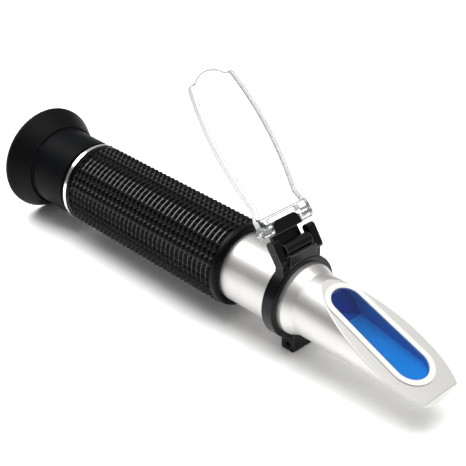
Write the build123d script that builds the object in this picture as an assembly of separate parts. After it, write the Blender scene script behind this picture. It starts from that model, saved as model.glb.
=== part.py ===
from build123d import *
import math
import os

os.makedirs("parts", exist_ok=True)

# Hand-held refractometer. Sizes in millimetres. Everything is built with the tube's axis
# along X, from the eyecup's rim plane at x = 0 to the tip of the prism head, and is
# moved at the end so that the origin is under the middle of the object, on the surface
# that it lies on. The daylight plate stands open.

# Clearances, and how far a cut runs past what it cuts
seat_gap = 0.02
running_gap = 0.05
overcut = 1.0

# Eyecup
rim_radius = 18.83
rim_lip = 0.9
cup_length = 9.25
cup_wall = 2.47
cup_mouth_wall = 1.3
cup_bore_mouth = 5.0
cup_inner_step = 0.9
cup_edge_round = 0.5

# Focus ring
focus_wall = 2.3
focus_length = 17.25
focus_lip_round = 0.8
spigot_wall = 1.4
adapter_depth = 7.0
adapter_step = 0.4
clip_room = 0.3
web_setback = 4.25
web_thickness = 2.0
focus_gap = 1.8
focus_travel_in = 1.5
focus_travel_out = 3.0

# Main tube
tube_radius = 11.65
tube_wall = 1.2
neck_engagement = 7.5

# Grip sleeve and trim ring
trim_width = 1.3
trim_height = 2.95
grip_length = 74.6
grip_thickness = 1.9
collar_height = 0.35
grip_rear_collar = 0.9
grip_front_collar = 2.5
collar_round = 1.2
knob_height = 0.68
knob_pitch = 2.09
knob_gap = 0.5
knob_flank = 0.6

# Eyepiece barrel and its lenses
cell_shoulder = 1.45
cell_neck_rear = 1.3
cell_shoulder_gap = 0.15
cell_barrel_length = 24.4
cell_wall = 1.65
cell_lip = 1.2
cell_lip_depth = 0.9
clip_width = 0.9
clip_height = 1.2
clip_groove = 0.5
clip_mouth = 5.0
land_margin = 0.3
eye_lens_edge = 2.2
eye_lens_dome = 1.5
spacer_length = 12.0
field_lens_edge = 2.0
field_lens_dome = 1.0
retainer_length = 2.0
guide_screw_radius = 1.0
guide_screw_depth = 2.05
guide_screw_place = 11.0
guide_slot_depth = 1.05

# Graticule
graticule_place = 28.4
graticule_cell_length = 8.0
graticule_wall = 1.95
graticule_thickness = 1.5
graticule_lip = 1.0
graticule_rim = 0.9
graticule_ring = 2.0
cell_screw_radius = 0.9
cell_screw_depth = 2.2
side_angles = (90, -90)

# Light baffle
baffle_gap = 2.5
baffle_thickness = 2.0
baffle_hole = 6.5

# Objective rocker
pivot_setback = 4.2
rocker_length = 6.0
rocker_room = 1.05
rocker_wall = 3.4
rocker_rim = 0.8
pad_cut = 2.1
rocker_lip = 1.0
objective_edge = 1.8
objective_dome = 1.0
objective_ring = 2.0
pivot_pin_radius = 0.75
pivot_pin_depth = 2.4

# Bimetal strip, its rivets and the leaf spring
strip_thickness = 0.6
strip_width = 4.0
strip_tail = 2.4
strip_arm = 13.0
strip_tip = 1.5
rivet_radius = 0.5
rivet_head = 0.35
rivet_spread = 1.2
rivet_depth = 0.9
leaf_thickness = 0.3
leaf_width = 3.0
leaf_gap = 0.1
leaf_reach = 2.5
leaf_length = 14.0
leaf_foot = 3.0
leaf_rivet_radius = 0.6

# Calibration screw under the tube
bush_radius = 2.98
bush_proud = 0.25
bush_length = 3.2
bush_lip = 0.7
bush_hole = 1.3
screw_head_radius = 2.0
screw_head_height = 0.78
screw_slot_width = 0.5
screw_slot_depth = 0.35
screw_shank_radius = 0.8
screw_shank_length = 1.4
plunger_travel = 0.225
plunger_flat = 1.55
plunger_wall_top = 0.35
plunger_top_setback = 0.4
plunger_nose_radius = 0.5
cap_radius = 2.4
cap_head = 0.6

# Cover ring with hinge ears and clamp lug
bare_length = 20.0
ring_width = 4.54
ring_thickness = 2.09
ring_edge_round = 0.5
ear_inner = 6.0
ear_outer = 9.05
ear_lean = 55.2
ear_front = 1.54
ear_depth = 2.95
ear_top = 4.34
ear_foot = 3.81
ear_corner = 1.25
ear_edge_round = 0.35
ear_root_outer = 8.2
ear_root_rear = 0.4
ear_root_front = 3.4
ear_root_drop = 2.0
wall_setback = 0.4
wall_thickness = 0.85
wall_height = 2.9
wall_half_width = 5.6
root_sink = 4.0
lug_width = 5.3
lug_near = 3.85
lug_slit_place = 1.0
lug_slit = 0.7
lug_far = 4.45
lug_corner = 0.7
clamp_height = 2.3
clamp_screw_radius = 0.95
clamp_head_radius = 1.75
clamp_head_height = 1.2
clamp_socket_radius = 0.8
clamp_socket_depth = 0.72
clamp_nut_radius = 1.9
clamp_nut_height = 1.2

# Prism head
head_length = 52.5
head_ring_gap = 0.26
head_collar_length = 1.3
head_neck_taper = 3.4
head_neck_step = 1.4
head_tip_half_width = 11.9
head_tip_depth = 9.4
head_tip_corner = 2.0
head_tip_lean = 25.0
head_spigot_length = 11.0
head_bore = 8.0
face_start = 5.83
face_drop = 0.52
face_slope = 21.04
face_edge_round = 0.3
head_screw_radius = 0.9
head_screw_depth = 1.9
head_screw_angles = (60, 180, 300)
oring_radius = 0.5
oring_place = 2.7
oring_room = 0.2

# Prism, its seal and its lining
window_rear = 11.96
window_rear_radius = 5.09
window_front = 37.96
window_front_radius = 5.63
prism_proud = 0.45
seal_width = 1.87
seal_proud = 0.35
seal_depth = 0.6
floor_rear_height = -4.0
floor_rear_place = 16.4
floor_slope = 6.3
exit_lean = 18.0
lining_thickness = 0.3

# Hinge and daylight plate
pivot_place = 0.61
pivot_rise = 3.09
open_angle = 152.73
hinge_pin_radius = 0.55
barrel_radius = 2.25
bracket_half_width = 5.45
bracket_end_thickness = 2.3
bracket_corner = 2.2
pocket_front = 2.34
pocket_depth = 3.0
pocket_web = 1.3
plate_thickness = 1.2
rim_height = 0.4
rim_width = 1.35
plate_rise = 0.2
plate_offset = 8.5
plate_length = 53.0
plate_corner = 1.5
nose_length = 2.6
nose_half_width = 6.0
neck_place = 12.0
neck_half_width = 9.0
arm_half_width = 10.3
arm_length = 8.3
arm_drop = 0.8
arm_slot_half_width = 6.1
arm_slot_depth = 7.65
belly_place = 31.0
belly_half_width = 11.25
tip_half_width = 8.7
eye_place = 4.4
eye_height = 1.1
eye_radius = 1.9
knuckle_end = 6.35
plate_pin_radius = 0.6
plate_pin_inner = 3.2

# Radii from the tube's axis, each from the one that it fits in or over
tube_bore = tube_radius - tube_wall
focus_bore = tube_radius + running_gap
focus_radius = focus_bore + focus_wall
cell_neck_radius = tube_bore - cell_shoulder
clip_outer = cell_neck_radius + clip_height
clip_pocket = clip_outer + clip_room
adapter_bore = clip_pocket + adapter_step
spigot_radius = adapter_bore + spigot_wall
cup_neck_radius = spigot_radius + cup_wall
trim_radius = tube_radius + trim_height
grip_base_radius = tube_radius + grip_thickness
grip_knob_radius = grip_base_radius + knob_height
grip_collar_radius = grip_base_radius + collar_height
cell_bore = tube_bore - cell_wall
cell_lip_hole = cell_bore - cell_lip
graticule_bore = tube_bore - graticule_wall
graticule_lip_hole = graticule_bore - graticule_rim
rocker_radius = tube_bore - rocker_room
rocker_pad = rocker_radius - pad_cut
objective_radius = rocker_radius - rocker_wall
objective_lip_hole = objective_radius - rocker_rim
bush_outer = tube_radius + bush_proud
bush_inner = bush_outer - bush_length
ring_radius = tube_radius + ring_thickness
head_rear_radius = tube_radius - head_neck_step
face_start_height = tube_radius - face_drop
hinge_z = ring_radius + pivot_rise

# Places along the tube, each from the one before it
focus_rear = cup_length
focus_front = focus_rear + focus_length
tube_rear = focus_front - neck_engagement
trim_rear = focus_front + focus_gap
grip_rear = trim_rear + trim_width
grip_front = grip_rear + grip_length
ring_rear = grip_front + bare_length
ring_front = ring_rear + ring_width
tube_front = ring_front + head_ring_gap
total_length = tube_front + head_length
web_rear = focus_rear + web_setback
web_front = web_rear + web_thickness
cell_neck_end = web_front + cell_shoulder_gap
cell_rear = web_rear - cell_neck_rear
cell_seat = cell_neck_end + cell_lip_depth
guide_x = tube_rear + guide_screw_place
pivot_x = grip_front - pivot_setback
rocker_rear = pivot_x - rocker_length / 2
calibration_x = pivot_x + strip_arm
strip_bottom = -(rocker_pad + strip_thickness)
leaf_rear = pivot_x + leaf_reach - leaf_length
leaf_rivet_x = leaf_rear + leaf_foot / 2
baffle_rear = leaf_rear - baffle_gap - baffle_thickness
hinge_x = ring_rear + pivot_place
lug_middle = ring_rear + ring_width / 2
clamp_z = -rim_radius + clamp_height
oring_x = tube_front - head_spigot_length + oring_place

slope = math.radians(face_slope)
face_origin = Vector(tube_front + face_start, 0, face_start_height)
face_along = Vector(math.cos(slope), 0, -math.sin(slope))
face_up = Vector(math.sin(slope), 0, math.cos(slope))
face_plane = Plane(origin=face_origin, x_dir=face_along, z_dir=face_up)

START = (Align.CENTER, Align.CENTER, Align.MIN)
BIG = 200.0


def rod(start, length, radius):
    """Round bar along the tube's axis."""
    return Pos(start, 0, 0) * Rot(0, 90, 0) * Cylinder(radius, length, align=START)


def ring(start, length, outer, inner):
    """Plain ring round the tube's axis."""
    return rod(start, length, outer) - rod(start - overcut, length + 2 * overcut, inner)


def turned(*points):
    """Solid turned about the tube's axis from (x, radius) points."""
    outline = Polyline(*[(x, 0, radius) for x, radius in points], close=True)
    return revolve(make_face(outline), axis=Axis.X)


def round_rims(part, x, radius, amount):
    """Rounds the circular edges of one radius that lie in one plane across the tube."""
    rims = [
        edge
        for edge in part.edges().filter_by(GeomType.CIRCLE)
        if abs(edge.arc_center.X - x) < 1e-4 and abs(edge.radius - radius) < 1e-4
    ]
    return fillet(rims, amount)


def cross_pin(x, z, y_start, y_end, radius):
    """Round pin along Y."""
    pin = Cylinder(radius, y_end - y_start, align=START)
    return Pos(x, y_start, z) * Rot(-90, 0, 0) * pin


def radial_pin(x, angle, inner, outer, radius):
    """Round pin that points away from the tube's axis; an angle of 0 points up."""
    pin = Pos(0, 0, inner) * Cylinder(radius, outer - inner, align=START)
    return Pos(x, 0, 0) * Rot(angle, 0, 0) * pin


def slab(x0, x1, y0, y1, z0, z1):
    """Block between two corners."""
    block = Box(x1 - x0, y1 - y0, z1 - z0)
    return Pos((x0 + x1) / 2, (y0 + y1) / 2, (z0 + z1) / 2) * block


def side_plate(points, y0, y1, corner=0.0):
    """Plate cut to an outline in the XZ plane, from y0 to y1."""
    face = make_face(Polyline(*[(x, -z) for x, z in points], close=True))
    if corner:
        face = fillet(face.vertices(), corner)
    plate = extrude(face, y1 - y0)
    return Pos(0, y0, 0) * Rot(-90, 0, 0) * plate


def lens(rear, radius, edge, rear_dome, front_dome, land):
    """Lens with flat lands round its domes, turned about the tube's axis."""
    inner = radius - land
    front = rear + edge
    lines = [
        Line((rear, 0, inner), (rear, 0, radius)),
        Line((rear, 0, radius), (front, 0, radius)),
        Line((front, 0, radius), (front, 0, inner)),
    ]
    for x, dome in ((front, front_dome), (rear, -rear_dome)):
        sphere_radius = (inner**2 + dome**2) / (2 * abs(dome))
        half = math.asin(inner / sphere_radius) / 2
        middle = x + math.copysign(abs(dome) - sphere_radius * (1 - math.cos(half)), dome)
        arc = ThreePointArc(
            (x, 0, inner), (middle, 0, sphere_radius * math.sin(half)), (x + dome, 0, 0)
        )
        lines.append(arc)
    lines.append(Line((rear - rear_dome, 0, 0), (front + front_dome, 0, 0)))
    return revolve(make_face(lines), axis=Axis.X)


def make_eyecup():
    """Flared rubber cup pressed over the focus ring's spigot."""
    inner = spigot_radius + seat_gap
    cup = turned(
        (0, rim_radius),
        (rim_lip, rim_radius),
        (cup_length, cup_neck_radius),
        (cup_length, inner),
        (cup_bore_mouth, inner),
        (cup_bore_mouth, inner + cup_inner_step),
        (0, rim_radius - cup_mouth_wall),
    )
    return round_rims(cup, cup_length, cup_neck_radius, cup_edge_round)


def make_focus_ring():
    """Ring with a spigot for the cup, a web round the barrel's neck and a bore on the tube."""
    body = rod(focus_rear, focus_length, focus_radius)
    body = round_rims(body, focus_front, focus_radius, focus_lip_round)
    body += rod(cup_bore_mouth, focus_rear - cup_bore_mouth, spigot_radius)
    body -= rod(cup_bore_mouth - overcut, adapter_depth + overcut, adapter_bore)
    body -= rod(cup_bore_mouth, web_rear - cup_bore_mouth, clip_pocket)
    body -= rod(web_front, BIG, focus_bore)
    return body - rod(cup_bore_mouth, BIG, cell_neck_radius + running_gap)


def make_main_tube():
    """Tube with holes for the grub screws, the pivots, the rivet and the bush."""
    tube = ring(tube_rear, tube_front - tube_rear, tube_radius, tube_bore)
    tube -= radial_pin(guide_x, 0, 0, BIG, guide_screw_radius + seat_gap)
    tube -= cell_screw_pins(seat_gap)
    tube -= head_screw_pins(seat_gap)
    reach = 2 * tube_radius
    tube -= cross_pin(pivot_x, 0, -reach, reach, pivot_pin_radius + seat_gap)
    tube -= radial_pin(leaf_rivet_x, 0, 0, BIG, leaf_rivet_radius + seat_gap)
    return tube - radial_pin(calibration_x, 180, 0, BIG, bush_radius + seat_gap)


def make_trim_ring():
    return ring(trim_rear, trim_width, trim_radius, tube_radius + seat_gap)


def make_grip_sleeve():
    """Sleeve with rows of raised rings between two smooth collars."""
    inner = tube_radius + seat_gap
    field_rear = grip_rear + grip_rear_collar
    field_front = grip_front - grip_front_collar
    rows = int((field_front - field_rear) / knob_pitch)
    pitch = (field_front - field_rear) / rows
    outline = [
        (grip_rear, inner),
        (grip_rear, grip_collar_radius),
        (field_rear, grip_collar_radius),
        (field_rear, grip_base_radius),
    ]
    for row in range(rows):
        rear = field_rear + row * pitch + knob_gap / 2
        front = rear + pitch - knob_gap
        outline += [
            (rear, grip_base_radius),
            (rear + knob_flank, grip_knob_radius),
            (front - knob_flank, grip_knob_radius),
            (front, grip_base_radius),
        ]
    outline += [
        (field_front, grip_base_radius),
        (field_front, grip_collar_radius),
        (grip_front, grip_collar_radius),
        (grip_front, inner),
    ]
    return round_rims(turned(*outline), grip_front, grip_collar_radius, collar_round)


def make_lens_cell():
    """Stepped barrel that slides in the tube, with a slot for the guide screw."""
    barrel = tube_bore - running_gap
    body = rod(cell_rear, cell_neck_end - cell_rear, cell_neck_radius)
    body += rod(cell_neck_end, cell_barrel_length, barrel)
    body -= rod(cell_rear - overcut, BIG, cell_lip_hole)
    body -= rod(cell_seat, BIG, cell_bore)
    groove_rear = web_rear - clip_width - running_gap
    groove = ring(groove_rear, clip_width + running_gap, barrel, cell_neck_radius - clip_groove)
    body -= groove
    half = guide_screw_radius + running_gap
    slot = slab(
        guide_x - focus_travel_in - half,
        guide_x + focus_travel_out + half,
        -half,
        half,
        barrel - guide_slot_depth,
        BIG,
    )
    return body - slot


def make_cell_clip():
    """Open ring in the barrel's groove, behind the focus ring's web."""
    rear = web_rear - clip_width - running_gap / 2
    width = clip_width - running_gap / 2
    clip = ring(rear, width, clip_outer, cell_neck_radius - clip_groove + seat_gap)
    half = clip_mouth / 2
    return clip - slab(rear - overcut, rear + width + overcut, -half, half, -BIG, 0)


def lens_land():
    return cell_lip + land_margin


def make_eye_lens():
    radius = cell_bore - seat_gap
    return lens(cell_seat, radius, eye_lens_edge, eye_lens_dome, eye_lens_dome, lens_land())


def spacer_rear():
    return cell_seat + eye_lens_edge


def make_lens_spacer():
    return ring(spacer_rear(), spacer_length, cell_bore - seat_gap, cell_lip_hole)


def make_field_lens():
    rear = spacer_rear() + spacer_length
    radius = cell_bore - seat_gap
    return lens(rear, radius, field_lens_edge, field_lens_dome, field_lens_dome, lens_land())


def make_lens_retainer():
    rear = spacer_rear() + spacer_length + field_lens_edge
    return ring(rear, retainer_length, cell_bore - seat_gap, cell_lip_hole)


def make_focus_guide_screw():
    outer = tube_radius - running_gap
    return radial_pin(guide_x, 0, outer - guide_screw_depth, outer, guide_screw_radius)


def cell_screw_pins(gap):
    """The two grub screws of the graticule cell, or their holes when given a gap."""
    x = grip_rear + graticule_place + graticule_cell_length - 2 * cell_screw_radius
    outer = tube_radius - running_gap
    inner = outer - cell_screw_depth
    if gap:
        inner -= gap
        outer += overcut
    pins = [radial_pin(x, angle, inner, outer, cell_screw_radius + gap) for angle in side_angles]
    return Part() + pins


def make_graticule_cell():
    rear = grip_rear + graticule_place
    cell = ring(rear, graticule_cell_length, tube_bore - seat_gap, graticule_lip_hole)
    cell -= rod(rear + graticule_lip, graticule_cell_length, graticule_bore + seat_gap)
    return cell - cell_screw_pins(seat_gap)


def graticule_seat():
    return grip_rear + graticule_place + graticule_lip


def make_graticule():
    return rod(graticule_seat(), graticule_thickness, graticule_bore)


def make_graticule_retainer():
    rear = graticule_seat() + graticule_thickness
    return ring(rear, graticule_ring, graticule_bore, graticule_lip_hole)


def make_light_baffle():
    return ring(baffle_rear, baffle_thickness, tube_bore - seat_gap, baffle_hole)


def pad_rivets(gap):
    """The two rivets that hold the strip under the rocker, or their holes."""
    top = -rocker_pad + rivet_depth + gap
    pins = []
    for side in (-1, 1):
        pin = Cylinder(rivet_radius + gap, top - strip_bottom, align=START)
        pins.append(Pos(pivot_x + side * rivet_spread, 0, strip_bottom) * pin)
    return Part() + pins


def make_objective_rocker():
    """Tilting ring with a flat underside for the strip."""
    body = ring(rocker_rear, rocker_length, rocker_radius, objective_lip_hole)
    body -= rod(rocker_rear + rocker_lip, rocker_length, objective_radius + seat_gap)
    body -= slab(0, BIG, -BIG, BIG, -BIG, -rocker_pad)
    bore = pivot_pin_radius + running_gap
    inner = rocker_radius - pivot_pin_depth + running_gap
    for angle in side_angles:
        body -= radial_pin(pivot_x, angle, inner - 2 * running_gap, BIG, bore)
    return body - pad_rivets(seat_gap)


def make_pivot_pins():
    inner = rocker_radius - pivot_pin_depth + running_gap
    outer = tube_radius - running_gap
    pins = [radial_pin(pivot_x, angle, inner, outer, pivot_pin_radius) for angle in side_angles]
    return Part() + pins


def make_objective_lens():
    land = rocker_rim + land_margin
    rear = rocker_rear + rocker_lip
    return lens(rear, objective_radius, objective_edge, objective_dome, objective_dome, land)


def make_objective_retainer():
    rear = rocker_rear + rocker_lip + objective_edge
    return ring(rear, objective_ring, objective_radius, objective_lip_hole)


def make_bimetal_strip():
    strip = slab(
        pivot_x - strip_tail,
        calibration_x + strip_tip,
        -strip_width / 2,
        strip_width / 2,
        strip_bottom,
        -rocker_pad,
    )
    return strip - pad_rivets(seat_gap)


def make_bimetal_rivets():
    heads = pad_rivets(0)
    for side in (-1, 1):
        head = Cylinder(2 * rivet_radius, rivet_head, align=START)
        heads += Pos(pivot_x + side * rivet_spread, 0, strip_bottom - rivet_head) * head
    return heads


def make_leaf_spring():
    """Flat spring fixed to the top of the bore, its free end over the rocker."""
    front = leaf_rear + leaf_length
    bottom = rocker_radius + leaf_gap
    half = leaf_width / 2
    spring = slab(leaf_rear, front, -half, half, bottom, bottom + leaf_thickness)
    spring += slab(leaf_rear, leaf_rear + leaf_foot, -half, half, bottom, tube_radius)
    spring &= rod(0, BIG, tube_bore - seat_gap)
    return spring - radial_pin(leaf_rivet_x, 0, 0, BIG, leaf_rivet_radius + seat_gap)


def make_spring_rivet():
    bottom = rocker_radius + leaf_gap
    outer = tube_radius - running_gap
    rivet = radial_pin(leaf_rivet_x, 0, bottom, outer, leaf_rivet_radius)
    head = radial_pin(leaf_rivet_x, 0, bottom - rivet_head, bottom, 2 * leaf_rivet_radius)
    return rivet + head


def under(outer, inner, radius):
    """Round bar on the calibration screw's axis between two depths below the tube's axis."""
    return radial_pin(calibration_x, 180, inner, outer, radius)


def flat_sided(part, half):
    """Cuts two flats on a round piece of the calibration screw's axis."""
    return part & slab(calibration_x - BIG, calibration_x + BIG, -half, half, -BIG, BIG)


def head_chamber_inner():
    return bush_outer - bush_lip - screw_head_height - 2 * seat_gap


def make_calibration_bush():
    """Bush with a lip outside and a flat-sided bore for the plunger inside."""
    wide = screw_head_radius + running_gap
    bush = under(bush_outer, bush_inner, bush_radius)
    bush -= under(BIG, 0, bush_hole)
    bush -= under(bush_outer - bush_lip, head_chamber_inner(), wide)
    return bush - flat_sided(
        under(head_chamber_inner() + running_gap, 0, wide), plunger_flat + running_gap
    )


def make_calibration_screw():
    outer = bush_outer - bush_lip - seat_gap
    inner = outer - screw_head_height
    screw = under(outer, inner, screw_head_radius)
    screw += under(inner, inner - screw_shank_length, screw_shank_radius)
    half = screw_slot_width / 2
    x0 = calibration_x - BIG
    x1 = calibration_x + BIG
    return screw - slab(x0, x1, -half, half, -BIG, -outer + screw_slot_depth)


def make_calibration_plunger():
    """Flat-sided nut on the screw's shank, with a nose that carries the strip."""
    head_inner = bush_outer - bush_lip - seat_gap - screw_head_height
    outer = head_inner - plunger_travel - running_gap
    nose = -strip_bottom + seat_gap
    inner = nose + plunger_top_setback
    body = flat_sided(under(outer, inner, screw_head_radius - seat_gap), plunger_flat)
    body -= under(BIG, inner + plunger_wall_top, screw_shank_radius + running_gap)
    return body + under(inner, nose, plunger_nose_radius)


def make_calibration_cap():
    cap = under(bush_outer + cap_head, bush_outer, cap_radius)
    return cap + under(bush_outer, bush_outer - bush_lip + running_gap, bush_hole - running_gap)


def head_screw_pins(gap):
    """Three grub screws under the cover ring, or their holes when given a gap."""
    x = lug_middle
    outer = tube_radius - running_gap
    inner = outer - head_screw_depth
    if gap:
        inner -= gap
        outer += overcut
    radius = head_screw_radius + gap
    return Part() + [radial_pin(x, angle, inner, outer, radius) for angle in head_screw_angles]


def window_face(offset, height):
    """Outline of the prism's window, grown by an offset, on a plane above the slanted face."""
    rear = window_rear_radius + offset
    front = window_front_radius + offset
    lean = (window_front_radius - window_rear_radius) / (window_front - window_rear)
    rise = math.sqrt(1 - lean**2)
    rear_x = window_rear - lean * rear
    front_x = window_front - lean * front
    outline = [
        ThreePointArc(
            (rear_x, rear * rise), (window_rear - rear, 0), (rear_x, -rear * rise)
        ),
        Line((rear_x, -rear * rise), (front_x, -front * rise)),
        ThreePointArc(
            (front_x, -front * rise), (window_front + front, 0), (front_x, front * rise)
        ),
        Line((front_x, front * rise), (rear_x, rear * rise)),
    ]
    return face_plane.offset(height) * make_face(outline)


def window_block(offset, bottom, top):
    """The window's outline as a solid between two heights from the slanted face."""
    return extrude(window_face(offset, bottom), top - bottom, dir=face_up)


def above_floor(drop):
    """Space above the prism's sloping floor, lowered by a drop."""
    lean = Rot(0, floor_slope, 0)
    block = lean * (Pos(0, 0, BIG / 2 - drop) * Box(BIG, BIG, BIG))
    return Pos(tube_front + floor_rear_place, 0, floor_rear_height) * block


def prism_rear():
    """Place along the tube of the window's rear end."""
    return face_origin.X + (window_rear - window_rear_radius) * face_along.X


def light_exit(gap):
    """Space in front of the prism's light exit, which leans forward from the window's end."""
    top = face_origin + face_along * (window_rear - window_rear_radius)
    block = Pos(BIG / 2 + gap, 0, 0) * Box(BIG, BIG, BIG)
    return Pos(top.X, top.Y, top.Z) * Rot(0, -exit_lean, 0) * block


def ahead(x):
    """Space in front of a plane across the tube."""
    return slab(x, x + BIG, -BIG, BIG, -BIG, BIG)


def tip_plan(body_rear):
    """Block that rounds the two front corners of the head, seen from above."""
    drop = (total_length - face_origin.X) * math.tan(slope)
    share = (face_start_height - drop) / head_tip_depth
    edge = head_tip_half_width * math.sqrt(1 - share**2)
    rear_edge = edge + (total_length - body_rear) * math.tan(math.radians(head_tip_lean))
    corners = [
        (body_rear, -rear_edge),
        (total_length, -edge),
        (total_length, edge),
        (body_rear, rear_edge),
    ]
    plan = make_face(Polyline(*corners, close=True))
    plan = fillet(plan.vertices().sort_by(Axis.X)[-2:], head_tip_corner)
    return extrude(Pos(0, 0, -BIG / 2) * plan, BIG)


def make_prism_head():
    """Cast head: collar, body that flattens to the tip, slanted face, bore and cavity."""
    body_rear = tube_front + head_collar_length + head_neck_taper
    rear_plane = Plane(origin=(body_rear, 0, 0), x_dir=(0, 1, 0), z_dir=(1, 0, 0))
    tip_plane = Plane(origin=(total_length, 0, 0), x_dir=(0, 1, 0), z_dir=(1, 0, 0))
    rear_section = rear_plane * Circle(head_rear_radius)
    tip_section = tip_plane * Ellipse(head_tip_half_width, head_tip_depth)
    body = loft([rear_section, tip_section], ruled=True)
    body &= tip_plan(body_rear)
    body -= face_plane * (Pos(0, 0, BIG / 2) * Box(2 * BIG, BIG, BIG))
    slanted_face = body.faces().sort_by(Axis(face_origin, face_up))[-1]
    body = fillet(slanted_face.edges(), face_edge_round)
    body += turned(
        (tube_front, 0),
        (tube_front, tube_radius),
        (tube_front + head_collar_length, tube_radius),
        (body_rear, head_rear_radius),
        (body_rear, 0),
    )
    spigot_rear = tube_front - head_spigot_length
    body += rod(spigot_rear, head_spigot_length, tube_bore - seat_gap)
    body -= rod(0, prism_rear(), head_bore)
    body -= oring_groove()
    body -= head_screw_pins(seat_gap)
    cavity = window_block(lining_thickness + seat_gap, -BIG, overcut)
    body -= cavity & above_floor(lining_thickness + seat_gap) & ahead(prism_rear())
    return body - window_block(seal_width + seat_gap, -seal_depth, overcut)


def oring_groove():
    width = 2 * oring_radius + oring_room
    floor = tube_bore - seat_gap - 2 * oring_radius - running_gap
    return ring(oring_x - width / 2, width, 2 * tube_radius, floor)


def make_head_seal():
    middle = tube_bore - seat_gap - oring_radius
    return Pos(oring_x, 0, 0) * Rot(0, 90, 0) * Torus(middle, oring_radius)


def make_prism():
    """Glass block with its top just proud of the face and a leaning light exit at the rear."""
    block = window_block(0, -BIG, prism_proud)
    return block & above_floor(0) & light_exit(seat_gap)


def make_prism_lining():
    """Thin blue tray round the prism's sides and under its floor."""
    outer = window_block(lining_thickness, -BIG, -seal_depth - seat_gap)
    outer &= above_floor(lining_thickness)
    inner = window_block(seat_gap, -BIG, overcut) & above_floor(seat_gap / 2)
    return (outer - inner) & ahead(prism_rear() + seat_gap)


def make_prism_seal():
    outer = window_block(seal_width, -seal_depth + seat_gap, seal_proud)
    return outer - window_block(seat_gap, -BIG, overcut)


def ear_outline():
    """Outline of a hinge ear: a block round the hinge pin that leans back over the ring."""
    lean = math.radians(ear_lean)
    along = Vector(math.cos(lean), 0, -math.sin(lean))
    forward = Vector(math.sin(lean), 0, math.cos(lean))
    middle = Vector(hinge_x, 0, hinge_z)
    ear_back = ear_front - ear_depth
    corners = [
        middle - along * ear_top + forward * ear_front,
        middle + along * ear_foot + forward * ear_front,
        middle + along * ear_foot + forward * ear_back,
        middle - along * ear_top + forward * ear_back,
    ]
    return [(corner.X, corner.Z) for corner in corners]


def make_cover_ring():
    """Split clamp ring with two ears and a low wall above and a lug below."""
    body = rod(ring_rear, ring_width, ring_radius)
    for x in (ring_rear, ring_front):
        body = round_rims(body, x, ring_radius, ring_edge_round)
    root_bottom = ring_radius - root_sink
    root_rear = ring_rear + ear_root_rear
    root_front = ring_rear + ear_root_front
    for side in (-1, 1):
        y0, y1 = sorted((side * ear_inner, side * ear_outer))
        ear = side_plate(ear_outline(), y0, y1, ear_corner)
        outer_face = ear.faces().sort_by(Axis.Y)[(side - 1) // 2]
        body += fillet(outer_face.edges(), ear_edge_round)
        y0, y1 = sorted((side * ear_inner, side * ear_root_outer))
        body += slab(root_rear, root_front, y0, y1, root_bottom, hinge_z - ear_root_drop)
    wall_front = ring_front - wall_setback
    body += slab(
        wall_front - wall_thickness,
        wall_front,
        -wall_half_width,
        wall_half_width,
        root_bottom,
        ring_radius + wall_height,
    )
    half = lug_width / 2
    lug = slab(lug_middle - half, lug_middle + half, -lug_near, lug_far, -rim_radius, -tube_radius)
    lug_edges = lug.edges().filter_by(Axis.Y).group_by(Axis.Z)[0]
    body += fillet(lug_edges, lug_corner)
    body -= rod(ring_rear - half, 2 * ring_width, tube_radius + seat_gap)
    slit_x = lug_middle - lug_width
    body -= slab(slit_x, slit_x + 2 * lug_width, lug_slit_place, lug_slit_place + lug_slit, -BIG, 0)
    body -= cross_pin(hinge_x, hinge_z, -BIG, BIG, hinge_pin_radius + seat_gap)
    body -= cross_pin(lug_middle, clamp_z, -BIG, BIG, clamp_screw_radius + seat_gap)
    head = clamp_head_radius + seat_gap
    body -= cross_pin(lug_middle, clamp_z, -BIG, -lug_near + clamp_head_height, head)
    return body - clamp_nut_blank(lug_far - clamp_nut_height, BIG, seat_gap)


def clamp_nut_blank(y0, y1, gap):
    """Six-sided bar on the clamp screw's axis."""
    nut = extrude(RegularPolygon(clamp_nut_radius + gap, 6), y1 - y0)
    return Pos(lug_middle, y0, clamp_z) * Rot(-90, 0, 0) * nut


def make_clamp_screw():
    seat = -lug_near + clamp_head_height
    screw = cross_pin(lug_middle, clamp_z, -lug_near + seat_gap, seat, clamp_head_radius)
    screw += cross_pin(lug_middle, clamp_z, seat, lug_far - seat_gap, clamp_screw_radius)
    socket = extrude(RegularPolygon(clamp_socket_radius, 6), clamp_socket_depth)
    return screw - Pos(lug_middle, -lug_near, clamp_z) * Rot(-90, 0, 0) * socket


def make_clamp_nut():
    nut = clamp_nut_blank(lug_far - clamp_nut_height, lug_far, 0)
    return nut - cross_pin(lug_middle, clamp_z, -BIG, BIG, clamp_screw_radius + seat_gap)


def make_hinge_pin():
    return cross_pin(hinge_x, hinge_z, -ear_outer, ear_outer, hinge_pin_radius)


def swung(part, angle):
    """Turns a piece about the hinge pin; a positive angle closes the plate."""
    return Pos(hinge_x, 0, hinge_z) * Rot(0, angle, 0) * Pos(-hinge_x, 0, -hinge_z) * part


def plate_plane():
    """Plane of the plate's rims when it is closed on the prism."""
    origin = face_origin - face_along * plate_offset + face_up * plate_rise
    return Plane(origin=origin, x_dir=face_along, z_dir=face_up)


def blade_face(inset):
    """Outline of the plate, drawn in by an inset along its two long sides."""
    outline = []
    for side in (-1, 1):
        shoulder = (arm_length, side * (arm_half_width - inset))
        neck = (neck_place, side * (neck_half_width - inset))
        belly = (belly_place, side * (belly_half_width - inset))
        tip = (plate_length, side * (tip_half_width - inset))
        outline += [Line(shoulder, neck), ThreePointArc(neck, belly, tip)]
    ends = [(arm_length, arm_half_width - inset), (plate_length, tip_half_width - inset)]
    outline += [Line((x, -y), (x, y)) for x, y in ends]
    face = make_face(outline)
    return fillet(face.vertices().sort_by(Axis.X)[-2:], plate_corner)


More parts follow.
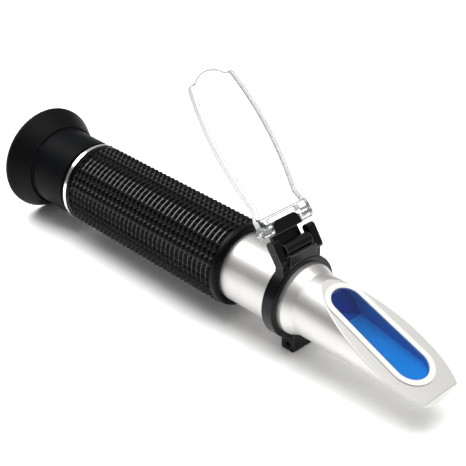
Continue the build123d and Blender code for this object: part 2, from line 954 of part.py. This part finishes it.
def make_daylight_plate():
    """Clear plate: thin sheet, two side rims, two arms and a thumb nose."""
    top = rim_height + plate_thickness
    blade = extrude(blade_face(0), top)
    blade -= extrude(blade_face(rim_width), rim_height)
    nose_root = plate_length - plate_corner
    nose = make_face(
        [
            ThreePointArc(
                (plate_length, nose_half_width),
                (plate_length + nose_length, 0),
                (plate_length, -nose_half_width),
            ),
            Line((plate_length, -nose_half_width), (nose_root, -nose_half_width)),
            Line((nose_root, -nose_half_width), (nose_root, nose_half_width)),
            Line((nose_root, nose_half_width), (plate_length, nose_half_width)),
        ]
    )
    blade += Pos(0, 0, rim_height) * extrude(nose, plate_thickness)
    inner = arm_slot_half_width
    blade += slab(eye_place, arm_length, -arm_half_width, arm_half_width, -arm_drop, top)
    for side in (-1, 1):
        y0, y1 = sorted((side * inner, side * arm_half_width))
        blade += cross_pin(eye_place, eye_height, y0, y1, eye_radius)
    blade -= slab(-BIG, arm_slot_depth, -inner, inner, -BIG, BIG)
    blade -= cross_pin(eye_place, eye_height, -BIG, BIG, plate_pin_radius + seat_gap)
    return swung(plate_plane() * blade, -open_angle)


def make_plate_pins():
    pins = []
    for side in (-1, 1):
        y0, y1 = sorted((side * plate_pin_inner, side * (arm_half_width - running_gap)))
        pins.append(cross_pin(eye_place, eye_height, y0, y1, plate_pin_radius))
    return swung(plate_plane() * (Part() + pins), -open_angle)


def bracket_outline():
    """Outline of the knuckle when the plate is closed: block, web over the pocket, barrel."""
    barrel = plate_plane().to_local_coords(Vector(hinge_x, 0, hinge_z))
    web_top = pocket_depth + pocket_web
    steps = [
        (pocket_front, 0),
        (knuckle_end, 0),
        (knuckle_end, bracket_end_thickness),
        (pocket_front, web_top),
        (barrel.X + barrel_radius, web_top),
        (barrel.X, barrel.Z + barrel_radius),
        (barrel.X, pocket_depth),
        (pocket_front, pocket_depth),
    ]
    return in_side_view(steps)


def in_side_view(steps):
    """Points of the XZ plane from steps along the closed plate and heights above it."""
    plane = plate_plane()
    points = [plane.origin + plane.x_dir * step + plane.z_dir * height for step, height in steps]
    return [(point.X, point.Z) for point in points]


def make_cover_bracket():
    """Knuckle on the hinge pin, with a pocket that clears the ring's wall when closed."""
    half = bracket_half_width
    body = side_plate(bracket_outline(), -half, half)
    plan = make_face(
        Polyline((-BIG, -half), (knuckle_end, -half), (knuckle_end, half), (-BIG, half), close=True)
    )
    plan = fillet(plan.vertices().sort_by(Axis.X)[-2:], bracket_corner)
    body &= plate_plane() * (Pos(0, 0, -BIG / 2) * extrude(plan, BIG))
    body += cross_pin(hinge_x, hinge_z, -half, half, barrel_radius)
    body -= cross_pin(hinge_x, hinge_z, -BIG, BIG, hinge_pin_radius + running_gap)
    holes = plate_plane() * cross_pin(
        eye_place, eye_height, -BIG, BIG, plate_pin_radius + seat_gap
    )
    return swung(body - holes, -open_angle)


pieces = {
    "eyecup": make_eyecup,
    "focus_ring": make_focus_ring,
    "main_tube": make_main_tube,
    "trim_ring": make_trim_ring,
    "grip_sleeve": make_grip_sleeve,
    "lens_cell": make_lens_cell,
    "cell_clip": make_cell_clip,
    "eye_lens": make_eye_lens,
    "lens_spacer": make_lens_spacer,
    "field_lens": make_field_lens,
    "lens_retainer": make_lens_retainer,
    "focus_guide_screw": make_focus_guide_screw,
    "graticule_cell": make_graticule_cell,
    "graticule": make_graticule,
    "graticule_retainer": make_graticule_retainer,
    "cell_screws": lambda: cell_screw_pins(0),
    "light_baffle": make_light_baffle,
    "objective_rocker": make_objective_rocker,
    "pivot_pins": make_pivot_pins,
    "objective_lens": make_objective_lens,
    "objective_retainer": make_objective_retainer,
    "bimetal_strip": make_bimetal_strip,
    "bimetal_rivets": make_bimetal_rivets,
    "leaf_spring": make_leaf_spring,
    "spring_rivet": make_spring_rivet,
    "calibration_bush": make_calibration_bush,
    "calibration_screw": make_calibration_screw,
    "calibration_plunger": make_calibration_plunger,
    "calibration_cap": make_calibration_cap,
    "prism_head": make_prism_head,
    "head_seal": make_head_seal,
    "head_screws": lambda: head_screw_pins(0),
    "prism": make_prism,
    "prism_lining": make_prism_lining,
    "prism_seal": make_prism_seal,
    "cover_ring": make_cover_ring,
    "clamp_screw": make_clamp_screw,
    "clamp_nut": make_clamp_nut,
    "hinge_pin": make_hinge_pin,
    "cover_bracket": make_cover_bracket,
    "daylight_plate": make_daylight_plate,
    "plate_pins": make_plate_pins,
}

to_frame = Pos(-total_length / 2, 0, rim_radius)
for name, make in pieces.items():
    export_step(to_frame * make(), f"parts/{name}.step")
print("hinge", hinge_x - total_length / 2, hinge_z + rim_radius)
print("objective pivot", pivot_x - total_length / 2, rim_radius)
print("calibration", calibration_x - total_length / 2)
print("length", total_length)
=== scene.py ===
# %% [markdown]
# # A hand-held refractometer
#
# A refractometer measures how much sugar or salt a drop of liquid holds. The drop lies
# on a slanted glass prism under a clear plate, and the user looks through the tube at a
# scale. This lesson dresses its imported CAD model: the pieces that CAD shapes well get a
# finish, and the grip, whose charm is in small detail, is modelled here.

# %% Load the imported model
import math

import bmesh
import bpy
from mathutils import Matrix, Vector


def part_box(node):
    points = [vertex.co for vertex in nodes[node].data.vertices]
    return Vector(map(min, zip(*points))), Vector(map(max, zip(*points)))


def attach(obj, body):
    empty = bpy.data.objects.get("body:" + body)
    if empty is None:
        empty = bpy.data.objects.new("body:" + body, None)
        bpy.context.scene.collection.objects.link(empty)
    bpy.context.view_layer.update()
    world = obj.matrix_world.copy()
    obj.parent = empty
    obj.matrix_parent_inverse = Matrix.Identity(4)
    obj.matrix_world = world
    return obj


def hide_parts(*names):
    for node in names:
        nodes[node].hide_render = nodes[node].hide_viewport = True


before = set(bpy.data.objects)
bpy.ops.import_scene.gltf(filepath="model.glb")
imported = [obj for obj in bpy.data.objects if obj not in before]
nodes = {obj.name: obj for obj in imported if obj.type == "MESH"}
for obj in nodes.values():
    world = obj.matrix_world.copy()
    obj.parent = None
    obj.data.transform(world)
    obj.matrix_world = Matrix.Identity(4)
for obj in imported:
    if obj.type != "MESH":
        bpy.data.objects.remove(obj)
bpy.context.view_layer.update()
MM = 0.001
tube_low, tube_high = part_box("main_tube")
tube_axis = Vector((0, 0, (tube_low.z + tube_high.z) / 2))
print("CAD nodes", len(nodes), "axis height in mm", round(tube_axis.z / MM, 2))

# %% [markdown]
# ## Camera
#
# The photograph was taken from in front and above, with a long lens. Its view was worked
# out from the tube: the rims of the eyecup and the ring give the direction, and the
# hinge's cross lines give the roll. A camera needs only a place and three directions.

# %% Place the camera
camera_place = Vector((237.99, -222.48, 220.91)) * MM
camera_azimuth = math.radians(46.03)
camera_elevation = math.radians(31.0)
focal_length = 91.84
sensor_width = 36.0
nearest_metres = 0.01
farthest_metres = 10.0


def show(name, data):
    """Puts mesh, camera or lamp data into the scene as a new object."""
    item = bpy.data.objects.new(name, data)
    bpy.context.scene.collection.objects.link(item)
    return item


right = Vector((math.cos(camera_azimuth), math.sin(camera_azimuth), 0))
back = Vector(
    (
        math.sin(camera_azimuth) * math.cos(camera_elevation),
        -math.cos(camera_azimuth) * math.cos(camera_elevation),
        math.sin(camera_elevation),
    )
)
turn = Matrix((right, back.cross(right), back)).transposed()
camera = show("camera", bpy.data.cameras.new("camera"))
camera.data.lens = focal_length
camera.data.sensor_width = sensor_width
camera.data.clip_start = nearest_metres
camera.data.clip_end = farthest_metres
camera.matrix_world = Matrix.Translation(camera_place) @ turn.to_4x4()
bpy.context.scene.camera = camera
print("camera distance in mm", round((camera_place - tube_axis).length / MM, 1))

# %% [markdown]
# ## Nodes and colours
#
# Every finish below is a tree of shader nodes. One helper adds a node, sets what is
# given as a number and links what is given as a socket. The short helpers after it stand
# for one common node each, and return its output. Colours are written as sRGB hex, as a
# paint program shows them, and one function turns them to the linear values that the
# renderer works in, by the curve of the sRGB standard.


# %% Helpers for single nodes
def linear(hex_colour):
    """sRGB hex such as '#1f74d4' to linear RGBA."""
    channels = [int(hex_colour[i : i + 2], 16) / 255 for i in (1, 3, 5)]
    return (*[c / 12.92 if c <= 0.04045 else ((c + 0.055) / 1.055) ** 2.4 for c in channels], 1.0)


def add_node(tree, kind, inputs=None, **settings):
    """Adds a node, sets its settings, and sets or links each of its inputs."""
    node = tree.nodes.new(kind)
    for name, value in settings.items():
        setattr(node, name, value)
    for name, value in (inputs or {}).items():
        if isinstance(value, bpy.types.NodeSocket):
            tree.links.new(value, node.inputs[name])
        else:
            node.inputs[name].default_value = value
    return node


def noise(tree, size_mm, detail=3.0):
    """Noise with grains of a real size. The objects are in metres, so its scale is high."""
    place = add_node(tree, "ShaderNodeTexCoord")
    inputs = {"Vector": place.outputs["Object"], "Scale": 1.0 / (size_mm * MM), "Detail": detail}
    return add_node(tree, "ShaderNodeTexNoise", inputs).outputs["Fac"]


def ramp(tree, value, start, end, low, high, **settings):
    """Goes from low to high while the value goes from start to end."""
    inputs = {"Value": value, "From Min": start, "From Max": end, "To Min": low, "To Max": high}
    return add_node(tree, "ShaderNodeMapRange", inputs, **settings).outputs["Result"]


def calculate(tree, operation, first, second=0.0):
    """Result of one Math node."""
    return add_node(tree, "ShaderNodeMath", {0: first, 1: second}, operation=operation).outputs["Value"]


def dot(tree, first, second):
    """Dot product, which is a vector's length along a direction of length 1."""
    inputs = {0: first, 1: second}
    return add_node(tree, "ShaderNodeVectorMath", inputs, operation="DOT_PRODUCT").outputs["Value"]


def faces_along(tree, normal, direction, match):
    """1 where a surface faces along a direction or against it, and 0 elsewhere.

    A match of 1 asks for that exact direction, and a smaller one lets it lean.
    """
    size = calculate(tree, "ABSOLUTE", dot(tree, normal, direction))
    return calculate(tree, "GREATER_THAN", size, match)


def mix_colours(tree, share, first, second):
    """Colour that goes from the first to the second as the share rises to 1."""
    inputs = {0: share, 6: first, 7: second}
    return add_node(tree, "ShaderNodeMix", inputs, data_type="RGBA").outputs[2]


def mix_shaders(tree, share, first, second):
    """Surface that goes from the first to the second as the share rises to 1."""
    return add_node(tree, "ShaderNodeMixShader", {0: share, 1: first, 2: second}).outputs["Shader"]


def tinted(tree, kind, colour, **inputs):
    """Output of a shader node of one plain colour."""
    return add_node(tree, kind, {"Color": linear(colour), **inputs}).outputs["BSDF"]


# %% [markdown]
# ## Parts of a finish
#
# Most finishes have the same few parts: one plain colour, a roughness that wanders, a
# fine grain in the normal, and a painted highlight that makes the edges a little paler.
# The Bevel node finds the edges, because there its smoothed normal differs from the
# surface's own.

# %% Helpers for finishes
bevel_samples = 6
line_samples = 8
moulded_grain_depth = 0.05


def start_finish(name, colour, roughness, metallic=0.0, specular=0.5):
    """A new material with its shader set to one plain colour."""
    material = bpy.data.materials.new(name)
    material.use_nodes = True
    tree = material.node_tree
    shader = tree.nodes["Principled BSDF"]
    shader.inputs["Base Color"].default_value = linear(colour)
    shader.inputs["Roughness"].default_value = roughness
    shader.inputs["Metallic"].default_value = metallic
    shader.inputs["Specular IOR Level"].default_value = specular
    material.diffuse_color = linear(colour)
    return material, tree, shader


def make_clear(shader, index):
    """Lets light through the shader and bends it by a refractive index."""
    shader.inputs["Transmission Weight"].default_value = 1.0
    shader.inputs["IOR"].default_value = index


def use_surface(tree, surface):
    """Makes a shader the material's own."""
    tree.links.new(surface, tree.nodes["Material Output"].inputs["Surface"])


def uneven(tree, shader, size_mm, low, high, detail=3.0):
    """Roughness that wanders between two values over patches of a real size."""
    patch = noise(tree, size_mm, detail)
    tree.links.new(ramp(tree, patch, 0.0, 1.0, low, high), shader.inputs["Roughness"])
    return patch


def grained(tree, shader, height, strength, depth_mm, **inputs):
    """Fine relief in the shader's normal."""
    inputs = {"Height": height, "Strength": strength, "Distance": depth_mm * MM, **inputs}
    relief = add_node(tree, "ShaderNodeBump", inputs)
    tree.links.new(relief.outputs["Normal"], shader.inputs["Normal"])


def soft_edges(tree, shader, height, radius_mm, strength):
    """Edges rounded by a real radius, with a fine grain on top."""
    edge = add_node(tree, "ShaderNodeBevel", {"Radius": radius_mm * MM}, samples=bevel_samples)
    grained(tree, shader, height, strength, moulded_grain_depth, Normal=edge.outputs["Normal"])


def edge_line(tree, radius_mm, start, full, most):
    """Rises to its most on edges, where the smoothed normal leaves the surface's own."""
    edge = add_node(tree, "ShaderNodeBevel", {"Radius": radius_mm * MM}, samples=line_samples)
    side = add_node(tree, "ShaderNodeNewGeometry")
    return ramp(tree, dot(tree, edge.outputs["Normal"], side.outputs["Normal"]), start, full, 0.0, most)


def painted_edge_highlight(tree, shader, plain, highlight_colour, radius_mm):
    """Paler colour painted along the edges as a highlight line."""
    painted_line = edge_line(tree, radius_mm, start=0.99, full=0.86, most=1.0)
    tree.links.new(mix_colours(tree, painted_line, linear(plain), linear(highlight_colour)), shader.inputs["Base Color"])


def wear(*names, material):
    """Gives CAD pieces a finish."""
    for name in names:
        slots = nodes[name].data.materials
        slots.clear()
        slots.append(material)
    print(material.name, "on", ", ".join(names))


# %% [markdown]
# ## Black natural rubber
#
# The eyecup is moulded natural rubber: soft, near black, and satin, because the mould
# was lightly blasted. Light grazes it in a broad sheen, so the roughness is middling and
# a fine grain breaks the highlight.

# %% Finish: satin moulded rubber
rubber_black = "#0b0b0d"
rubber, tree, shader = start_finish("satin_moulded_rubber", rubber_black, 0.42, specular=0.06)
uneven(tree, shader, size_mm=9.0, low=0.42, high=0.56, detail=2.0)
grained(tree, shader, noise(tree, size_mm=0.35), strength=0.12, depth_mm=0.05)
# Paler grey painted along the edges as a highlight line.
painted_edge_highlight(tree, shader, rubber_black, "#6a6a6e", radius_mm=0.8)
wear("eyecup", "calibration_cap", "head_seal", material=rubber)

# %% [markdown]
# ## Black ABS
#
# The cover's clamp ring and its knuckle are injection-moulded ABS from a polished mould,
# so edges and flats catch small bright lines, and along the edges a paler painted highlight
# adds to them. The focus ring came from a blasted mould and is matte, which gives the
# fingers more hold; its edges get a fainter painted highlight.

# %% Finish: half-gloss ABS and matte ABS
half_gloss_black = "#060608"
abs_black, tree, shader = start_finish("half_gloss_abs", half_gloss_black, 0.3, specular=0.2)
grain = uneven(tree, shader, size_mm=0.8, low=0.24, high=0.36)
# Bright lines painted along the edges as a highlight.
painted_edge_highlight(tree, shader, half_gloss_black, "#67656b", radius_mm=0.4)
soft_edges(tree, shader, grain, radius_mm=0.25, strength=0.08)
wear("cover_ring", "cover_bracket", material=abs_black)

matte_black = "#08090b"
matte_abs, tree, shader = start_finish("matte_moulded_abs", matte_black, 0.5, specular=0.04)
grain = uneven(tree, shader, size_mm=0.5, low=0.44, high=0.58)
# Faint lines painted along the edges as a highlight.
painted_edge_highlight(tree, shader, matte_black, "#5a5a60", radius_mm=0.45)
soft_edges(tree, shader, grain, radius_mm=0.2, strength=0.15)
wear("focus_ring", material=matte_abs)

# %% [markdown]
# ## Satin silver
#
# The tube and the cast head are aluminium, blasted with fine beads and plated or
# anodised to a satin silver. Blasting scatters light evenly, so the metal shows broad
# soft bands and no sharp reflection.

# %% Finish: bead-blasted silver
silver, tree, shader = start_finish("bead_blasted_silver", "#d2d1ce", 0.42, metallic=1.0)
uneven(tree, shader, size_mm=6.0, low=0.42, high=0.5)
grained(tree, shader, noise(tree, size_mm=0.25, detail=2.0), strength=0.15, depth_mm=0.03)
wear("main_tube", "prism_head", material=silver)

# %% [markdown]
# ## Bright trim
#
# The narrow ring behind the grip was turned on a lathe and left bright. The tool's fine
# grooves follow one another along the tube, as a sine wave does.

# %% Finish: turned bright aluminium
groove_pitch = 0.12
trim, tree, shader = start_finish("turned_bright_aluminium", "#f2f2f0", 0.16, metallic=1.0)
uneven(tree, shader, size_mm=1.5, low=0.12, high=0.22)
place = add_node(tree, "ShaderNodeTexCoord")
across = add_node(tree, "ShaderNodeSeparateXYZ", {"Vector": place.outputs["Object"]})
angle = calculate(tree, "MULTIPLY", across.outputs["X"], 2 * math.pi / (groove_pitch * MM))
grained(tree, shader, calculate(tree, "SINE", angle), strength=0.1, depth_mm=0.01)
wear("trim_ring", material=trim)

# %% [markdown]
# ## Clear acrylic
#
# The daylight plate is a moulding of clear acrylic, a little over a millimetre thick.
# Its flat sheet is almost invisible. Moulded edges are a little rounded, and a thin dark
# grey line is painted along every edge, as painted shade for the dark surroundings that
# such edges bend into view. The narrow side walls came out of the mould slightly frosted,
# so they are pale grey, but for the clear arms beside the hinge. A side's direction tells
# whether it is flat sheet or wall: the model is packed with the plate standing open, and
# its sheet then faces 221.69 degrees, counted from the tube's forward direction by way of up.

# %% Finish: clear moulded acrylic
acrylic_index = 1.49
sheet_direction = math.radians(221.69)
flat_match = 0.9
arms_end = 9.5
blade_start = 11.5
frost_on_arms = 0.15
frost_on_walls = 0.55
acrylic, tree, shader = start_finish("clear_moulded_acrylic", "#fbfcfd", 0.03)
make_clear(shader, acrylic_index)
uneven(tree, shader, size_mm=5.0, low=0.02, high=0.05)
plastic = shader.outputs["BSDF"]
place = add_node(tree, "ShaderNodeTexCoord")

# A dark grey line painted along every edge, as painted shade for what rounded edges bend into view.
painted_line = edge_line(tree, radius_mm=0.8, start=0.995, full=0.93, most=0.7)
sheet_and_painted_line = mix_shaders(tree, painted_line, plastic, tinted(tree, "ShaderNodeBsdfDiffuse", "#54575a"))

through = tinted(tree, "ShaderNodeBsdfTransparent", "#f8f9fa")
frost = tinted(tree, "ShaderNodeBsdfDiffuse", "#dfe1e3")
wall = mix_shaders(tree, frost_on_walls, through, frost)
pin_low, pin_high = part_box("hinge_pin")
outward = Vector((math.sin(sheet_direction), 0, -math.cos(sheet_direction)))
from_hinge = {0: place.outputs["Object"], 1: (pin_low + pin_high) / 2}
away = add_node(tree, "ShaderNodeVectorMath", from_hinge, operation="SUBTRACT").outputs["Vector"]
reach = dot(tree, away, outward)
blade = ramp(tree, reach, arms_end * MM, blade_start * MM, frost_on_arms, 1.0)
rim = mix_shaders(tree, blade, plastic, wall)

sheet_normal = Vector((math.cos(sheet_direction), 0, math.sin(sheet_direction)))
flat = faces_along(tree, place.outputs["Normal"], sheet_normal, flat_match)
use_surface(tree, mix_shaders(tree, flat, rim, sheet_and_painted_line))
wear("daylight_plate", material=acrylic)

# %% [markdown]
# ## Optical glass and what lies under it
#
# The prism is clear glass over a blue film, held in white sealing compound. The film is
# bonded to the glass, so light goes straight through to it. The rear face, where the
# light leaves, has air behind it and leans by 18 degrees from upright. Seen from the
# front it is met too flatly for light to pass, so it acts as a mirror and shows the
# shaded blue walls. Lamps and scattered light pass straight through the glass, so that
# the film isn't left in the dark.

# %% Finish: optical glass, film and seal
glass_index = 1.52
exit_lean = math.radians(18.0)
exit_match = 0.99
glass_tint = "#f2f7fc"
glass, tree, shader = start_finish("polished_optical_glass", "#f4f8fb", 0.02)
make_clear(shader, glass_index)
uneven(tree, shader, size_mm=4.0, low=0.01, high=0.03)
wear("eye_lens", "field_lens", "objective_lens", "graticule", material=glass)

bonded, tree, shader = start_finish("bonded_prism_glass", "#f4f8fb", 0.02)
bend = tinted(tree, "ShaderNodeBsdfRefraction", glass_tint, IOR=glass_index, Roughness=0.0)
shine = tinted(tree, "ShaderNodeBsdfGlossy", "#c4c9d1", Roughness=0.03)
clear = tinted(tree, "ShaderNodeBsdfTransparent", glass_tint)
mirror = tinted(tree, "ShaderNodeBsdfGlossy", "#a7a2d2", Roughness=0.02)
facing = add_node(tree, "ShaderNodeFresnel", {"IOR": glass_index})
side = add_node(tree, "ShaderNodeNewGeometry")
path = add_node(tree, "ShaderNodeLightPath")
entering = mix_shaders(tree, facing.outputs["Fac"], bend, shine)
exit_normal = (math.cos(exit_lean), 0, math.sin(exit_lean))
is_exit = faces_along(tree, side.outputs["True Normal"], exit_normal, exit_match)
leaving = mix_shaders(tree, is_exit, clear, mirror)
surface = mix_shaders(tree, side.outputs["Backfacing"], entering, leaving)
lit = calculate(tree, "MAXIMUM", path.outputs["Is Shadow Ray"], path.outputs["Is Diffuse Ray"])
use_surface(tree, mix_shaders(tree, lit, surface, clear))
wear("prism", material=bonded)

film, tree, shader = start_finish("blue_lacquer_film", "#0a85e0", 0.35, specular=0.0)
coat = mix_colours(tree, noise(tree, size_mm=3.0), linear("#0a7cc8"), linear("#0c90de"))
tree.links.new(coat, shader.inputs["Base Color"])
wear("prism_lining", material=film)

seal, tree, shader = start_finish("white_silicone_seal", "#f1f1ee", 0.4)
uneven(tree, shader, size_mm=0.8, low=0.34, high=0.5)
wear("prism_seal", material=seal)

# %% [markdown]
# ## Small metal pieces
#
# Pins and screws are turned steel, the clamp's screw and the hinge's pin are blackened,
# the stops and lens cells are black anodised, and the calibration pieces are brass.

# %% Finish: small metals
steel, tree, shader = start_finish("turned_steel", "#b9babb", 0.3, metallic=1.0)
uneven(tree, shader, size_mm=0.6, low=0.22, high=0.38)
wear(
    "cell_clip", "focus_guide_screw", "cell_screws", "pivot_pins", "bimetal_rivets", "leaf_spring",
    "spring_rivet", "head_screws", "clamp_nut", "plate_pins", "calibration_screw", material=steel,
)

dark_steel, tree, shader = start_finish("blackened_steel", "#191a1c", 0.35, metallic=0.8)
uneven(tree, shader, size_mm=0.6, low=0.3, high=0.45)
wear("clamp_screw", "hinge_pin", material=dark_steel)

anodised, tree, shader = start_finish("black_anodised_aluminium", "#101112", 0.5, metallic=0.6)
uneven(tree, shader, size_mm=0.5, low=0.44, high=0.6)
wear(
    "lens_cell", "lens_spacer", "lens_retainer", "graticule_cell", "graticule_retainer",
    "light_baffle", "objective_rocker", "objective_retainer", material=anodised,
)

brass, tree, shader = start_finish("turned_brass", "#c9a45c", 0.3, metallic=1.0)
uneven(tree, shader, size_mm=0.7, low=0.24, high=0.38)
wear("calibration_bush", "calibration_plunger", "bimetal_strip", material=brass)

# %% [markdown]
# ## The knobbed grip
#
# The sleeve is rubber with rows of small knobs between two smooth collars. The CAD model
# has plain rings there. One cell of the pattern is a steep pyramid with a small flat top
# and a groove round it, and the sleeve repeats it 34 times along and 36 times round. Its
# gaps and its tip are shares of the cell. The bottoms of the grooves that run round the
# sleeve never touch a hand or a table, so they stay smooth and catch bright dashes of
# light. The front collar's edge is rounded through a few points, each given by how far
# it lies before the end and below the top.

# %% Sizes of the grip
grip_low, grip_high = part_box("grip_sleeve")
band_foot = 11.7 * MM
grip_base = 13.5 * MM
rear_edge = 13.7 * MM
collar_top = 13.9 * MM
knob_top = 14.23 * MM
rear_collar = 0.9 * MM
rear_bevel = 0.2 * MM
front_collar = 2.5 * MM
front_rounding = ((1.2 * MM, 0.0), (0.5 * MM, 0.25 * MM), (0.12 * MM, 0.7 * MM), (0.0, 1.2 * MM))
band_segments = 96
knob_rows = 34
knob_columns = 36
row_gap = 0.2
column_gap = 0.04
knob_tip = 0.16


# %% Model the grip
def on_tube(x, angle, radius):
    """Point on the sleeve, from a place along it, an angle round it and a radius."""
    return (x, radius * math.sin(angle), tube_axis.z + radius * math.cos(angle))


def join_rings(mesh, low, high):
    """Faces between two closed rings of as many corners."""
    ends = [(k, (k + 1) % len(low)) for k in range(len(low))]
    return [mesh.faces.new((low[k], low[after], high[after], high[k])) for k, after in ends]


def show_mesh(name, mesh):
    """Turns a mesh that was built by hand into a piece of the scene."""
    data = bpy.data.meshes.new(name)
    mesh.to_mesh(data)
    mesh.free()
    return show(name, data)


def knobbed_sleeve():
    """The knob field: each cell has four groove strips, four flanks and a small top."""
    mesh = bmesh.new()
    start = grip_low.x + rear_collar
    pitch = (grip_high.x - front_collar - start) / knob_rows
    step = 2 * math.pi / knob_columns
    columns = range(knob_columns)
    corners = [
        [mesh.verts.new(on_tube(start + row * pitch, column * step, grip_base)) for column in columns]
        for row in range(knob_rows + 1)
    ]
    square = ((0, 0), (1, 0), (1, 1), (0, 1))
    foot = (row_gap / 2, column_gap / 2, grip_base)
    tip = (0.5 - knob_tip / 2, 0.5 - knob_tip / 2, knob_top)
    for row in range(knob_rows):
        for column in columns:
            rings = [[corners[row + a][(column + b) % knob_columns] for a, b in square]]
            for along, across, radius in (foot, tip):
                x = [start + (row + share) * pitch for share in (along, 1 - along)]
                angle = [(column + share) * step for share in (across, 1 - across)]
                rings.append([mesh.verts.new(on_tube(x[a], angle[b], radius)) for a, b in square])
            outer, base, top = rings
            strips = join_rings(mesh, outer, base)
            for strip in strips[1::2]:
                strip.material_index = 1
            join_rings(mesh, base, top)
            mesh.faces.new(top)
    return show_mesh("knobbed_grip", mesh)


def turned_band(name, profile):
    """Surface turned about the tube's axis from (x, radius) points."""
    mesh = bmesh.new()
    angles = [2 * math.pi * k / band_segments for k in range(band_segments)]
    rings = [[mesh.verts.new(on_tube(x, angle, radius)) for angle in angles] for x, radius in profile]
    for low, high in zip(rings, rings[1:]):
        join_rings(mesh, low, high)
    return show_mesh(name, mesh)


rear_end = grip_low.x + rear_collar
front_end = grip_high.x - front_collar
rear_profile = [
    (grip_low.x, band_foot),
    (grip_low.x, rear_edge),
    (grip_low.x + rear_bevel, collar_top),
    (rear_end, collar_top),
    (rear_end, grip_base),
]
front_profile = [
    (front_end, grip_base),
    (front_end, collar_top),
    *[(grip_high.x - before, collar_top - below) for before, below in front_rounding],
    (grip_high.x, band_foot),
]
grip = knobbed_sleeve()
rear_band = turned_band("grip_rear_collar", rear_profile)
front_band = turned_band("grip_front_collar", front_profile)
print("knobs", knob_rows * knob_columns, "faces", len(grip.data.polygons))

# %% Finish: knobbed rubber and the smooth bottoms of its grooves
grip_black = "#030304"
grip_rubber, tree, shader = start_finish("knobbed_grip_rubber", grip_black, 0.4, specular=0.11)
grain = uneven(tree, shader, size_mm=0.3, low=0.32, high=0.44)
grained(tree, shader, grain, strength=0.1, depth_mm=0.04)

smooth_rubber, tree, shader = start_finish("smooth_groove_rubber", grip_black, 0.2)
uneven(tree, shader, size_mm=2.0, low=0.16, high=0.24)

for piece in (grip, rear_band, front_band):
    piece.data.materials.append(grip_rubber)
    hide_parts("grip_sleeve")
    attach(piece, "tube")
grip.data.materials.append(smooth_rubber)

# %% [markdown]
# ## Floor and light
#
# The object lies on a white table in a dim light tent. A soft lamp behind the eyecup
# draws the long highlight on the tube, and a larger one above fills the rest. The floor
# looks white to the camera, to metal and to glass, and keeps a soft shadow. The tent is
# a little brighter overhead and at the far side.

# %% Build the floor
floor_half = 1.5
extra_white = 0.42
floor_corners = [(x * floor_half, y * floor_half, 0) for x, y in ((-1, -1), (1, -1), (1, 1), (-1, 1))]
floor_mesh = bpy.data.meshes.new("floor")
floor_mesh.from_pydata(floor_corners, [], [(0, 1, 2, 3)])
floor = show("floor", floor_mesh)
white_table, tree, shader = start_finish("white_table", "#f4f4f4", 0.7)
floor_mesh.materials.append(white_table)
path = add_node(tree, "ShaderNodeLightPath")
seen = calculate(tree, "MAXIMUM", path.outputs["Is Camera Ray"], path.outputs["Is Transmission Ray"])
seen = calculate(tree, "MAXIMUM", seen, path.outputs["Is Glossy Ray"])
lift = mix_colours(tree, seen, (0, 0, 0, 1), (extra_white, extra_white, extra_white, 1))
extra = add_node(tree, "ShaderNodeBsdfDiffuse", {"Color": lift})
both = add_node(tree, "ShaderNodeAddShader", {0: shader.outputs["BSDF"], 1: extra.outputs["BSDF"]})
use_surface(tree, both.outputs["Shader"])

# %% Light the tent
world = bpy.data.worlds.new("light_tent")
bpy.context.scene.world = world
world.use_nodes = True
tree = world.node_tree
sky = tree.nodes["Background"]
sky.inputs["Color"].default_value = (1, 1, 1, 1)
place = add_node(tree, "ShaderNodeTexCoord")
toward = add_node(tree, "ShaderNodeSeparateXYZ", {"Vector": place.outputs["Generated"]})
smooth = {"interpolation_type": "SMOOTHSTEP"}
roof = ramp(tree, toward.outputs["Z"], start=0.5, end=0.85, low=0.0, high=0.3, **smooth)
rear = ramp(tree, toward.outputs["Y"], start=-0.3, end=0.6, low=0.16, high=0.42, **smooth)
tree.links.new(calculate(tree, "ADD", roof, rear), sky.inputs["Strength"])

lamp_target = (0, 0, 0.02)


def soft_lamp(name, place, size, watts):
    """Square area lamp that faces the object."""
    data = bpy.data.lights.new(name, "AREA")
    data.size = size
    data.energy = watts
    away = (Vector(place) - Vector(lamp_target)).normalized()
    facing = away.to_track_quat("Z", "Y").to_matrix().to_4x4()
    show(name, data).matrix_world = Matrix.Translation(place) @ facing
    print(name, "watts", watts)


soft_lamp("key_lamp", (-0.49, -0.09, 0.55), size=0.4, watts=3.2)
soft_lamp("roof_lamp", (0.1, 0.05, 0.9), size=0.8, watts=5.4)
bpy.context.scene.view_settings.view_transform = "Standard"
